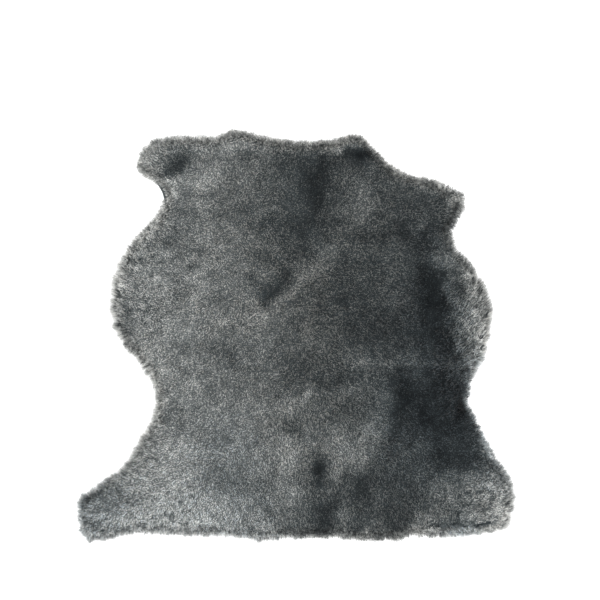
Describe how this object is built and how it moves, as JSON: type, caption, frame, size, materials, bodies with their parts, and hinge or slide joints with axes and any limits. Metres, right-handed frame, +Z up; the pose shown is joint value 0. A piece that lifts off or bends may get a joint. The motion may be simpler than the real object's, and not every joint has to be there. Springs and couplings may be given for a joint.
{
  "type": "sheepskin rug",
  "caption": "Flat one-piece sheepskin rug with a freely cut pelt outline, short dense grey wool on top, locks round its rim and bare leather underneath.",
  "frame": {"origin": "middle of the rug's box, on the floor under its leather", "axes": "+Z up out of the wool, +Y towards the neck, +X towards the right hind foot as seen from above"},
  "size_m": [0.8978, 0.8484, 0.032],
  "materials": {
    "wool": "short dense dyed wool, dark grey with pale tips",
    "hide": "bare suede side of the pelt, dyed dark grey with the wool"
  },
  "bodies": {
    "root": {"sheepskin": "wool"}
  },
  "joints": []
}
